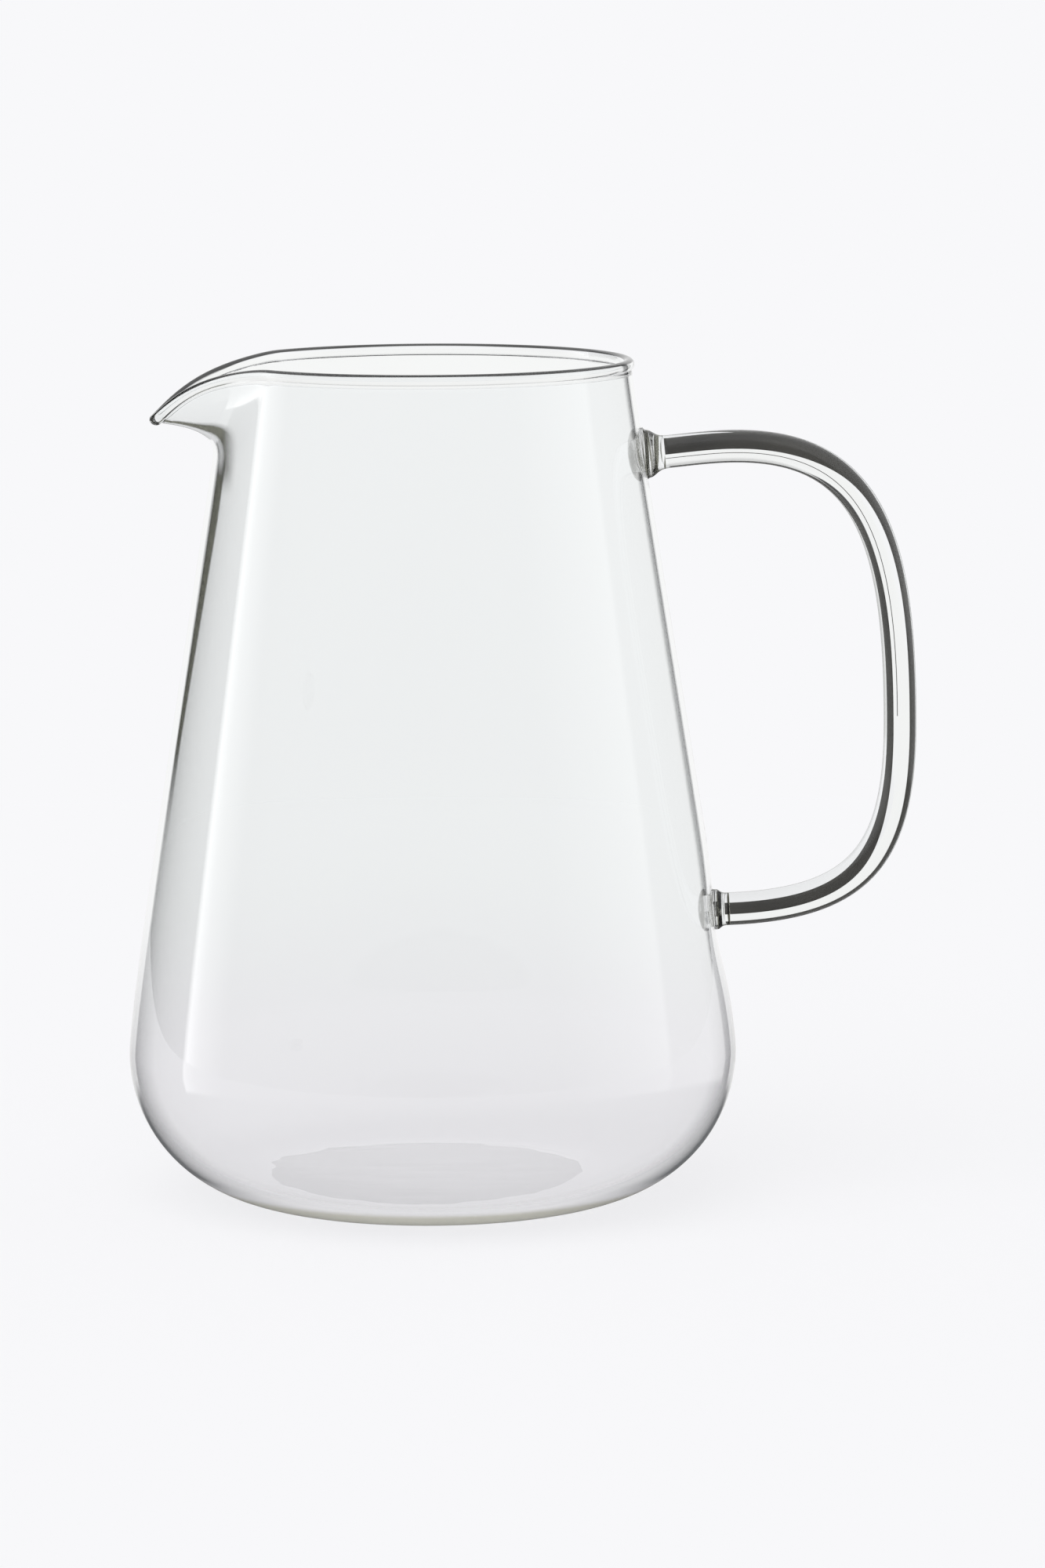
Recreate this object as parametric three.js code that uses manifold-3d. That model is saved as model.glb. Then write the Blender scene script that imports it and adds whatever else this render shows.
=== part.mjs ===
// A clear glass coffee carafe: a blown vessel with a pulled spout, and a bent glass rod welded on as its handle.
// Millimetres, +Z up. The vessel stands on z = 0 around the Z axis, spout towards -X, handle towards +X.

import * as THREE from 'three';
import { mergeVertices } from 'three/addons/utils/BufferGeometryUtils.js';
import Module from 'manifold-3d';

// Vessel
const BASE_RADIUS = 34; // flat disc that the carafe stands on
const BELLY_RADIUS = 65; // outside, at the widest
const BELLY_HEIGHT = 31; // height of the widest place
const RIM_RADIUS = 43.1; // outside of the wall under the rim bead
const RIM_HEIGHT = 178; // middle of the rim bead
const BELLY_EASE = 12.5; // how far the wall rises before it leans in over the belly
const NECK_EASE = 7; // how far below the rim the wall turns upright again
const WALL = 1.3; // wall thickness
const BASE_THICKNESS = 2.4; // base thickness
const BEAD_SWELL = 0.6; // how far the melted rim bead stands proud of each side of the wall

// Spout
const SPOUT_HALF_ANGLE = 40; // degrees of the rim, each side of -X, that are pulled into the spout
const SPOUT_DEPTH = 19.5; // how far below the rim the pull begins
const SPOUT_REACH = 14.6; // how far the lip is pulled out
const SPOUT_DROP = 12; // how far the lip comes down at its tip
const SPOUT_PINCH = 0.2; // share of its width that the lip loses at its tip
const SPOUT_CURL = 1.45; // how late in its climb the wall turns over: 1 turns it over evenly

// Handle
const ROD_DIAMETER = 7;
const UPPER_WELD_DROP = 19.2; // middle of the upper weld, below the rim
const LOWER_WELD_RISE = 30; // middle of the lower weld, above the widest place
const UPPER_ROD_RISE = 0.1; // slope of the rod where it leaves the upper weld
const LOWER_ROD_RISE = 0.037; // slope of the rod where it leaves the lower weld
const CREST_OUT = 19.3; // top of the rod's rise, out from the wall at the upper weld
const CREST_RISE = 1.6; // and above the middle of that weld
const GRIP_REACH = 35.1; // middle of the rod at its outermost, beyond the belly
const GRIP_RISE = 39.7; // and above the lower weld
const UPPER_BEND = { out: 0.81, down: 0.67 }; // how full the upper bend is, as shares of its width and height
const LOWER_BEND = { out: 0.76, down: 0.72 }; // the same for the lower bend

// Welds
const UPPER_WELD_DIAMETER = 11.4; // where the glass spreads on the wall
const UPPER_WELD_LENGTH = 3.8; // from the wall to the rod
const LOWER_WELD_DIAMETER = 9.2;
const LOWER_WELD_LENGTH = 3;
const FIT_GAP = 0.3; // clearance between pieces that touch

// Facets
const ROUND_SEGMENTS = 64;
const HEEL_STEPS = 8;
const WALL_STEPS = 5;
const SPOUT_STEPS = 6;
const BEAD_STEPS = 7;
const ROD_SIDES = 14;
const ROD_STEPS = 44;
const WELD_SEGMENTS = 24;
const WELD_STEPS = 5;

const SPOUT_START = RIM_HEIGHT - SPOUT_DEPTH;

const wasm = await Module();
wasm.setup();

const glass = new THREE.MeshStandardMaterial({ color: 0xf0f4f2, roughness: 0.03, metalness: 0 });

// The wall's outline from the belly to the rim, as [radius, height], set in from its outside.
function wallCurve(inset) {
  return new THREE.CubicBezierCurve(
    new THREE.Vector2(BELLY_RADIUS - inset, BELLY_HEIGHT),
    new THREE.Vector2(BELLY_RADIUS - inset, BELLY_HEIGHT + BELLY_EASE),
    new THREE.Vector2(RIM_RADIUS - inset, RIM_HEIGHT - NECK_EASE),
    new THREE.Vector2(RIM_RADIUS - inset, RIM_HEIGHT)
  );
}

const outerWall = wallCurve(0);

// The place along the outer wall, from 0 at the belly to 1 at the rim, that lies at a height.
function wallParameter(height) {
  const halvings = 40;
  let low = 0;
  let high = 1;
  for (let i = 0; i < halvings; i++) {
    const middle = (low + high) / 2;
    if (outerWall.getPoint(middle).y < height) low = middle;
    else high = middle;
  }
  return (low + high) / 2;
}

function outerRadius(height) {
  return outerWall.getPoint(wallParameter(height)).x;
}

// Points of a wall between two heights, given as places along the wall.
function wallPoints(curve, from, to, steps) {
  const points = [];
  for (let i = 1; i <= steps; i++) {
    points.push(curve.getPoint(from + ((to - from) * i) / steps));
  }
  return points;
}

// The quarter-round heel from the flat base up to the belly, its thickness growing towards the base.
function heelPoints(inset, floor) {
  const points = [];
  for (let i = 0; i <= HEEL_STEPS; i++) {
    const turn = (Math.PI / 2) * (i / HEEL_STEPS);
    const out = (BELLY_RADIUS - inset - BASE_RADIUS) * Math.sin(turn);
    const up = (BELLY_HEIGHT - floor) * (1 - Math.cos(turn));
    points.push(new THREE.Vector2(BASE_RADIUS + out, floor + up));
  }
  return points;
}

// The melted bead, from the outside of the wall over the top to the inside.
function beadPoints() {
  const radius = WALL / 2 + BEAD_SWELL;
  const seat = Math.acos(WALL / 2 / radius);
  const points = [];
  for (let i = 0; i <= BEAD_STEPS; i++) {
    const turn = -seat + (Math.PI + 2 * seat) * (i / BEAD_STEPS);
    const out = RIM_RADIUS - WALL / 2 + radius * Math.cos(turn);
    points.push(new THREE.Vector2(out, RIM_HEIGHT + radius * Math.sin(turn)));
  }
  return points;
}

// The vessel's whole section: base, outside, bead, inside.
function vesselSection() {
  const innerWall = wallCurve(WALL);
  const start = wallParameter(SPOUT_START);
  const end = wallParameter(RIM_HEIGHT - 2 * (WALL / 2 + BEAD_SWELL));
  const outside = [
    ...heelPoints(0, 0),
    ...wallPoints(outerWall, 0, start, WALL_STEPS),
    ...wallPoints(outerWall, start, end, SPOUT_STEPS),
  ];
  const inside = [
    ...heelPoints(WALL, BASE_THICKNESS),
    ...wallPoints(innerWall, 0, start, WALL_STEPS),
    ...wallPoints(innerWall, start, end, SPOUT_STEPS),
  ];
  return [
    new THREE.Vector2(0, 0),
    ...outside,
    ...beadPoints(),
    ...inside.reverse(),
    new THREE.Vector2(0, BASE_THICKNESS),
  ];
}

// A turned body around the Z axis.
function turned(section, segments) {
  return new THREE.LatheGeometry(section, segments).rotateX(Math.PI / 2);
}

// The outside of the wall after the pull, by its angle from -X and its height before the pull.
function pulledWall(angle, height) {
  const radius = outerRadius(Math.min(height, RIM_HEIGHT));
  const share = angle / THREE.MathUtils.degToRad(SPOUT_HALF_ANGLE);
  const pull = Math.abs(share) < 1 ? Math.cos((share * Math.PI) / 2) ** 2 : 0;
  const climb = Math.max((height - SPOUT_START) / SPOUT_DEPTH, 0);
  const outward = pull * (1 - Math.cos((Math.PI / 2) * climb));
  const downward = ((pull + pull ** 3) / 2) * climb ** SPOUT_CURL;
  return new THREE.Vector3(
    -radius * Math.cos(angle) - SPOUT_REACH * outward,
    -radius * Math.sin(angle) * (1 - SPOUT_PINCH * outward),
    height - SPOUT_DROP * downward
  );
}

// The outward direction of the pulled wall.
function pulledNormal(angle, height) {
  const turn = 0.01;
  const rise = 0.1;
  const around = pulledWall(angle + turn, height).sub(pulledWall(angle - turn, height));
  const up = pulledWall(angle, height + rise).sub(pulledWall(angle, height - rise));
  return around.cross(up).normalize();
}

// Moves the points near the rim into the spout, keeping each one's depth in the wall.
function pullSpout(geometry) {
  const position = geometry.attributes.position;
  const point = new THREE.Vector3();
  for (let i = 0; i < position.count; i++) {
    point.fromBufferAttribute(position, i);
    const angle = Math.atan2(-point.y, -point.x);
    const inSpout = Math.abs(angle) < THREE.MathUtils.degToRad(SPOUT_HALF_ANGLE);
    if (!inSpout || point.z <= SPOUT_START) continue;
    const depth = outerRadius(Math.min(point.z, RIM_HEIGHT)) - Math.hypot(point.x, point.y);
    const moved = pulledWall(angle, point.z).addScaledVector(pulledNormal(angle, point.z), -depth);
    position.setXYZ(i, moved.x, moved.y, moved.z);
  }
  geometry.computeVertexNormals();
  return geometry;
}

// The rod's centre line from the upper weld round to the lower one, in the XZ plane.
const upperHeight = RIM_HEIGHT - UPPER_WELD_DROP;
const lowerHeight = BELLY_HEIGHT + LOWER_WELD_RISE;
const upperWall = outerRadius(upperHeight);
const lowerWall = outerRadius(lowerHeight);

function rodPath() {
  const at = (x, z) => new THREE.Vector3(x, 0, z);
  const upperOut = UPPER_WELD_LENGTH + 2 * FIT_GAP;
  const lowerOut = LOWER_WELD_LENGTH + 2 * FIT_GAP;
  const start = at(upperWall + upperOut, upperHeight + UPPER_ROD_RISE * upperOut);
  const crest = at(upperWall + CREST_OUT, upperHeight + CREST_RISE);
  const grip = at(BELLY_RADIUS + GRIP_REACH, lowerHeight + GRIP_RISE);
  const end = at(lowerWall + lowerOut, lowerHeight + LOWER_ROD_RISE * lowerOut);
  const third = (crest.x - start.x) / 3;
  const upperWidth = (grip.x - crest.x) * UPPER_BEND.out;
  const upperFall = (crest.z - grip.z) * UPPER_BEND.down;
  const lowerFall = (grip.z - end.z) * LOWER_BEND.down;
  const lowerWidth = (grip.x - end.x) * LOWER_BEND.out;
  const path = new THREE.CurvePath();
  path.add(
    new THREE.CubicBezierCurve3(
      start,
      at(start.x + third, start.z + UPPER_ROD_RISE * third),
      at(crest.x - third, crest.z),
      crest
    )
  );
  path.add(
    new THREE.CubicBezierCurve3(crest, at(crest.x + upperWidth, crest.z), at(grip.x, grip.z + upperFall), grip)
  );
  path.add(
    new THREE.CubicBezierCurve3(
      grip,
      at(grip.x, grip.z - lowerFall),
      at(end.x + lowerWidth, end.z + LOWER_ROD_RISE * lowerWidth),
      end
    )
  );
  return path;
}

function rod() {
  const circle = new THREE.Shape();
  circle.absarc(0, 0, ROD_DIAMETER / 2, 0, Math.PI * 2);
  return new THREE.ExtrudeGeometry(circle, {
    steps: ROD_STEPS,
    curveSegments: ROD_SIDES / 2,
    extrudePath: rodPath(),
  });
}

// A closed geometry as a solid that can be cut.
function solid(geometry) {
  const bare = new THREE.BufferGeometry();
  bare.setAttribute('position', geometry.attributes.position);
  bare.setIndex(geometry.index);
  const merged = mergeVertices(bare);
  const index = merged.index.array;
  const triangles = [];
  for (let i = 0; i < index.length; i += 3) {
    const [a, b, c] = [index[i], index[i + 1], index[i + 2]];
    if (a !== b && b !== c && c !== a) triangles.push(a, b, c);
  }
  return new wasm.Manifold(
    new wasm.Mesh({
      numProp: 3,
      vertProperties: new Float32Array(merged.attributes.position.array),
      triVerts: new Uint32Array(triangles),
    })
  );
}

function geometryOf(body) {
  const mesh = body.getMesh();
  const geometry = new THREE.BufferGeometry();
  geometry.setAttribute('position', new THREE.BufferAttribute(mesh.vertProperties, 3));
  geometry.setIndex(new THREE.BufferAttribute(mesh.triVerts, 1));
  geometry.computeVertexNormals();
  return geometry;
}

// The room that the vessel takes up, grown by the fit gap, so that a weld lies against the wall.
function vesselRoom() {
  const points = [new THREE.Vector2(0, BELLY_HEIGHT)];
  const curve = wallCurve(-FIT_GAP);
  points.push(curve.getPoint(0));
  points.push(...wallPoints(curve, 0, wallParameter(SPOUT_START), WALL_STEPS));
  points.push(...wallPoints(curve, wallParameter(SPOUT_START), 1, SPOUT_STEPS));
  points.push(new THREE.Vector2(0, RIM_HEIGHT));
  return solid(turned(points, ROUND_SEGMENTS));
}

// A flared gather of glass between the wall and the rod's end.
function weld(wallRadius, height, rise, diameter, length) {
  const rootDepth = WALL * 2;
  const rodRadius = ROD_DIAMETER / 2;
  const section = [new THREE.Vector2(0, -rootDepth), new THREE.Vector2(diameter / 2, -rootDepth)];
  for (let i = 0; i <= WELD_STEPS; i++) {
    const share = i / WELD_STEPS;
    const flare = (1 - share) ** 2;
    section.push(new THREE.Vector2(rodRadius + (diameter / 2 - rodRadius) * flare, FIT_GAP + length * share));
  }
  section.push(new THREE.Vector2(0, FIT_GAP + length));
  const tilt = Math.atan(rise);
  const geometry = new THREE.LatheGeometry(section, WELD_SEGMENTS)
    .rotateZ(-Math.PI / 2)
    .rotateY(-tilt)
    .translate(wallRadius, 0, height);
  return geometryOf(solid(geometry).subtract(vesselRoom()));
}

const carafe = new THREE.Group();

function addPiece(name, geometry) {
  const mesh = new THREE.Mesh(geometry, glass.clone());
  mesh.name = name;
  carafe.add(mesh);
}

addPiece('vessel', pullSpout(turned(vesselSection(), ROUND_SEGMENTS)));
addPiece('handle', rod());
addPiece(
  'upper_weld',
  weld(upperWall, upperHeight, UPPER_ROD_RISE, UPPER_WELD_DIAMETER, UPPER_WELD_LENGTH)
);
addPiece(
  'lower_weld',
  weld(lowerWall, lowerHeight, LOWER_ROD_RISE, LOWER_WELD_DIAMETER, LOWER_WELD_LENGTH)
);

export default carafe;
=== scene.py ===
"""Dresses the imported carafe: a blown glass vessel, a bent glass rod and two welds, in a bright studio."""

import math

import bpy
import numpy as np
from mathutils import Matrix, Vector


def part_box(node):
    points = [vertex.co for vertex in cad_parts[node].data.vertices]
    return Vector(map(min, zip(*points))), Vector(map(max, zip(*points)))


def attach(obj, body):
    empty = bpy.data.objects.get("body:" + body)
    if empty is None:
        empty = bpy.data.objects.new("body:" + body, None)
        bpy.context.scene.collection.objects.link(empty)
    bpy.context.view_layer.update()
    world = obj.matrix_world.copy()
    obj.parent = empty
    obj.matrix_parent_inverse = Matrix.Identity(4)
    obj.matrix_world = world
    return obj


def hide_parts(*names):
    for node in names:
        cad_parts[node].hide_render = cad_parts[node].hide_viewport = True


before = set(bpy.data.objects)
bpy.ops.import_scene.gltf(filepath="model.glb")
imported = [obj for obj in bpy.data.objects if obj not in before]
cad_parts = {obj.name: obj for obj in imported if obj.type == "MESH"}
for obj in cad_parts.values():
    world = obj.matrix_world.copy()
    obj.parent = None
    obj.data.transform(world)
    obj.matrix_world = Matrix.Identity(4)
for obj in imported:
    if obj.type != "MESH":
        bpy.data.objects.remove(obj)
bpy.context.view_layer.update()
VESSEL_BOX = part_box("vessel")

bl_info = {
    "name": "Glass carafe",
    "version": (1, 0, 0),
    "blender": (4, 5, 0),
    "location": "3D View > Sidebar > Carafe",
    "description": "Models a clear glass coffee carafe and sets it in a bright studio",
    "category": "Add Mesh",
}


# Settings


def length(name, description, default):
    return bpy.props.FloatProperty(
        name=name, description=description, default=default, unit="LENGTH", precision=5
    )


def share(name, description, default):
    return bpy.props.FloatProperty(name=name, description=description, default=default, subtype="FACTOR")


def turn(name, description, degrees):
    return bpy.props.FloatProperty(
        name=name, description=description, default=math.radians(degrees), subtype="ANGLE"
    )


def number(name, description, default):
    return bpy.props.FloatProperty(name=name, description=description, default=default)


def colour(name, description, default):
    return bpy.props.FloatVectorProperty(
        name=name, description=description, default=default, subtype="COLOR", min=0.0, max=1.0
    )


class VesselSizes(bpy.types.PropertyGroup):
    """The blown vessel: base, heel, wall, rim bead and spout."""

    # The disc moved here is where the contact shadow under the base is painted
    base_radius: length("Base radius", "Flat disc that the carafe stands on", 0.034)
    foot_shift: length("Foot shift", "How far the pressed disc lies off the axis, towards the spout", 0.002)
    belly_radius: length("Belly radius", "Outside, at the widest", VESSEL_BOX[1].y)
    belly_height: length("Belly height", "Height of the widest place", 0.031)
    rim_radius: length("Rim radius", "Outside of the wall under the rim bead", 0.0431)
    rim_height: length("Rim height", "Middle of the rim bead", 0.178)
    belly_ease: length("Belly ease", "How far the wall rises before it leans in", 0.0125)
    neck_ease: length("Neck ease", "How far below the rim the wall turns upright", 0.007)
    wall: length("Wall", "Wall thickness", 0.0013)
    base_thickness: length("Base thickness", "Glass under the middle", 0.0024)
    bead_swell: length("Bead swell", "How far the melted bead stands proud of the wall", 0.0006)
    spout_half_angle: turn("Spout half angle", "Part of the rim that is pulled out, each side", 40)
    spout_depth: length("Spout depth", "How far below the rim the pull begins", 0.0195)
    spout_reach: length("Spout reach", "How far the lip is pulled out", 0.0146)
    spout_drop: length("Spout drop", "How far the lip comes down at its tip", 0.012)
    spout_pinch: share("Spout pinch", "Share of its width that the lip loses", 0.2)
    spout_taper: share("Spout taper", "Share of its width that the pull loses from the rim down", 0.35)
    spout_curl: number("Spout curl", "How late in its climb the wall turns over", 1.45)
    dent_depth: length("Dent depth", "How far the lower weld draws the wall in", 0.0011)
    dent_height: length("Dent height", "Middle of that dent", 0.057)


class HandleSizes(bpy.types.PropertyGroup):
    """The bent rod and the welds at its ends."""

    rod_radius: length("Rod radius", "Half the rod's thickness", 0.0035)
    upper_drop: length("Upper weld drop", "Middle of the upper weld, below the rim", 0.0192)
    lower_rise: length("Lower weld rise", "Middle of the lower weld, above the widest place", 0.03)
    upper_slope: number("Upper slope", "Rise of the rod where it leaves the upper weld", 0.1)
    lower_slope: number("Lower slope", "Rise of the rod where it leaves the lower weld", 0.037)
    crest_out: length("Crest out", "Top of the rod's rise, out from the wall", 0.0193)
    crest_rise: length("Crest rise", "Top of the rod's rise, above the weld", 0.0016)
    grip_reach: length("Grip reach", "Rod at its outermost, beyond the belly", 0.0351)
    grip_rise: length("Grip rise", "Rod at its outermost, above the lower weld", 0.0397)
    upper_weld: length("Upper weld", "From the wall to the rod", 0.00425)
    lower_weld: length("Lower weld", "From the wall to the rod", 0.00345)
    upper_flare: length("Upper flare", "How far the upper weld spreads beyond the rod", 0.0016)
    lower_flare: length("Lower flare", "How far the lower weld spreads beyond the rod", 0.0008)
    upper_reach: length("Upper reach", "How quickly the upper weld narrows to the rod", 0.0019)
    lower_reach: length("Lower reach", "How quickly the lower weld narrows to the rod", 0.0009)
    upper_button: length("Upper button", "How far the upper weld is melted into the vessel", 0.0021)
    lower_button: length("Lower button", "How far the lower weld is melted into the vessel", 0.0017)


class GlassLook(bpy.types.PropertyGroup):
    """The glass itself, and the shade painted into its colour."""

    body_tint: colour("Body tint", "Colour of the glass seen through", (0.985, 0.995, 0.988))
    low_tint: colour("Low tint", "Colour of the glass of the belly", (0.985, 0.982, 0.988))
    # Painted shade: the dark edge of the heel, painted into the glass's colour
    painted_heel_shade: colour("Painted heel shade", "Colour of the heel where it is seen edge on", (0.025, 0.028, 0.031))
    foot_tint: colour("Foot tint", "Colour of the base where it is seen edge on", (0.42, 0.41, 0.31))
    # Also the colour of the painted shade along the welds' edges and in the dark bands of the throat and the
    # wall under the spout
    streak_and_shade_tint: colour("Streak and shade tint", "Colour of the streaks in melted glass", (0.05, 0.05, 0.035))
    joint_tint: colour("Joint tint", "Colour of the seats of the welds", (0.5, 0.5, 0.48))
    # Painted shade: the thin dark line along the edges of the rod
    painted_edge_shade: colour("Painted edge shade", "Colour of solid glass seen edge on", (0.1885, 0.1895, 0.1843))


class StageLook(bpy.types.PropertyGroup):
    """Backdrop and lights."""

    backdrop: colour("Backdrop", "Colour of the floor and of all that lies behind", (0.939, 0.939, 0.956))
    shade: share("Shade", "Share of the floor's brightness that a shadow can take away", 0.16)


# Shape of the wall

WALL_SAMPLES = 400


def bezier(a, b, c, d, t):
    """Points of a cubic curve, by its four control points."""
    a, b, c, d = (np.asarray(p, float) for p in (a, b, c, d))
    t = np.asarray(t, float)[:, None]
    return a * (1 - t) ** 3 + 3 * b * t * (1 - t) ** 2 + 3 * c * t**2 * (1 - t) + d * t**3


def wall_curve(vessel, inset, t):
    """The wall from the belly to the rim as radius and height, set in from its outside."""
    belly, rim = vessel.belly_radius - inset, vessel.rim_radius - inset
    return bezier(
        (belly, vessel.belly_height),
        (belly, vessel.belly_height + vessel.belly_ease),
        (rim, vessel.rim_height - vessel.neck_ease),
        (rim, vessel.rim_height),
        t,
    )


def outer_radius(vessel, height):
    """The outside of the wall at a height above the belly."""
    curve = wall_curve(vessel, 0.0, np.linspace(0, 1, WALL_SAMPLES))
    return np.interp(height, curve[:, 1], curve[:, 0])


def wall_place(vessel, height):
    """The place along the wall, from 0 at the belly to 1 at the rim, at a height."""
    t = np.linspace(0, 1, WALL_SAMPLES)
    return float(np.interp(height, wall_curve(vessel, 0.0, t)[:, 1], t))


# How finely each stretch of the section is divided, and the round
HEEL_STEPS = 26
WALL_STEPS = 52
SPOUT_STEPS = 26
BEAD_STEPS = 18
BASE_RINGS = 8
ROUND_STEPS = 192


def heel_points(vessel, inset, floor):
    """A quarter of an ellipse from the edge of the base to the widest place."""
    turns = np.linspace(0, math.pi / 2, HEEL_STEPS + 1)
    out = vessel.base_radius + (vessel.belly_radius - inset - vessel.base_radius) * np.sin(turns)
    up = floor + (vessel.belly_height - floor) * (1 - np.cos(turns))
    return np.column_stack([out, up])


def bead_points(vessel):
    """The round bead over the rim, from the outside of the wall to the inside."""
    radius = vessel.wall / 2 + vessel.bead_swell
    seat = math.acos(vessel.wall / 2 / radius)
    turns = np.linspace(-seat, math.pi + seat, BEAD_STEPS + 1)
    middle = vessel.rim_radius - vessel.wall / 2
    return np.column_stack([middle + radius * np.cos(turns), vessel.rim_height + radius * np.sin(turns)])


def vessel_outline(vessel):
    """The whole section: under the base, up the outside, over the bead and down the inside."""
    spout_start = wall_place(vessel, vessel.rim_height - vessel.spout_depth)
    bead_start = wall_place(vessel, vessel.rim_height - vessel.wall - 2 * vessel.bead_swell)
    places = np.concatenate(
        [np.linspace(0, spout_start, WALL_STEPS)[1:], np.linspace(spout_start, bead_start, SPOUT_STEPS)[1:]]
    )
    base = [(vessel.base_radius * i / BASE_RINGS, 0.0) for i in range(BASE_RINGS)]
    inner_base = [(r, vessel.base_thickness) for r, _ in base]
    outside = np.vstack([heel_points(vessel, 0.0, 0.0), wall_curve(vessel, 0.0, places)])
    inside = np.vstack(
        [heel_points(vessel, vessel.wall, vessel.base_thickness), wall_curve(vessel, vessel.wall, places)]
    )
    return [*base, *outside, *bead_points(vessel), *inside[::-1], *inner_base[::-1]]


def pulled_wall(vessel, angle, height):
    """The outside of the wall after the pull, by the angle from the spout and the height before the pull."""
    radius = outer_radius(vessel, height)
    climb = np.maximum((height - vessel.rim_height) / vessel.spout_depth + 1, 0)
    width = 1 - vessel.spout_taper * np.maximum(1 - climb, 0)
    part = np.clip(angle / vessel.spout_half_angle / width, -1, 1)
    pull = np.cos(part * math.pi / 2) ** 2
    outward = pull * (1 - np.cos(math.pi / 2 * climb))
    downward = (pull + pull**3) / 2 * climb**vessel.spout_curl
    return np.column_stack(
        [
            -radius * np.cos(angle) - vessel.spout_reach * outward,
            -radius * np.sin(angle) * (1 - vessel.spout_pinch * outward),
            height - vessel.spout_drop * downward,
        ]
    )


def pulled_normal(vessel, angle, height):
    """The way the pulled wall faces, from small steps to its sides, up and down."""
    step, rise = 0.01, 0.0001
    around = pulled_wall(vessel, angle + step, height) - pulled_wall(vessel, angle - step, height)
    up = pulled_wall(vessel, angle, height + rise) - pulled_wall(vessel, angle, height - rise)
    normal = np.cross(around, up)
    return normal / np.linalg.norm(normal, axis=1)[:, None]


def pull_spout(vessel, points):
    """Moves the points near the rim into the spout, keeping each one's depth in the wall."""
    angle = np.arctan2(-points[:, 1], -points[:, 0])
    height = points[:, 2]
    start = vessel.rim_height - vessel.spout_depth
    moved = (np.abs(angle) < vessel.spout_half_angle) & (height > start)
    angle, height = angle[moved], height[moved]
    depth = outer_radius(vessel, height) - np.hypot(points[moved, 0], points[moved, 1])
    wall = pulled_wall(vessel, angle, height)
    points[moved] = wall - pulled_normal(vessel, angle, height) * depth[:, None]


# How far the dent spreads up and down, and to each side
DENT_SPREAD = 0.010
DENT_HALF_ANGLE = math.radians(12)


def dent(vessel, angle, height):
    """How far the wall is drawn in round the lower weld."""
    across = np.exp(-((angle / DENT_HALF_ANGLE) ** 2))
    along = np.exp(-(((height - vessel.dent_height) / DENT_SPREAD) ** 2))
    return vessel.dent_depth * across * along


def draw_in_wall(vessel, points):
    """Moves the points of the wall into the dent."""
    angle = np.arctan2(points[:, 1], points[:, 0])
    inward = dent(vessel, angle, points[:, 2])
    points[:, 0] -= inward * np.cos(angle)
    points[:, 1] -= inward * np.sin(angle)


# Shape of the rod

# How finely each bend, each weld and each button is divided, and the rod's round. The rod's short rise takes
# every fourth step of a bend.
ROD_STEPS = 60
RISE_STRIDE = 4
WELD_STEPS = 44
ROD_ROUND = 14
BUTTON_STEPS = 12
# How far the two ends of each bend run straight on, as shares of its width and its height
UPPER_BEND = (0.81, 0.67)
LOWER_BEND = (0.76, 0.72)
# A weld's foot against the wall: its share of the flare and its height, and the flange's share inside
WELD_FOOT = 0.55
WELD_NECK = 0.0004
WELD_INSIDE = 0.8
# The depth in a button at which its dome ends in a small flat
BUTTON_FLAT = 0.999


def rod_ends(vessel, handle):
    """Where the rod's line leaves the wall, above and below, as x and z, with its slope there."""
    upper_z = vessel.rim_height - handle.upper_drop
    lower_z = vessel.belly_height + handle.lower_rise
    upper_x = float(outer_radius(vessel, upper_z))
    lower_x = float(outer_radius(vessel, lower_z) - dent(vessel, 0.0, lower_z))
    return (upper_x, upper_z, handle.upper_slope), (lower_x, lower_z, handle.lower_slope)


def along_weld(end, distance):
    """A place on the rod's line, at a distance out from the wall."""
    x, z, slope = end
    return x + distance, z + slope * distance


def weld_steps(vessel, button, reach):
    """Distances from the wall's outside at which a weld is shaped, from the button's tip to the rod."""
    turns = np.linspace(0, math.pi / 2, BUTTON_STEPS + 1)
    dome = -vessel.wall - button * np.cos(turns)
    return np.concatenate([dome[:-1], np.linspace(-vessel.wall, reach, WELD_STEPS)])


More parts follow.
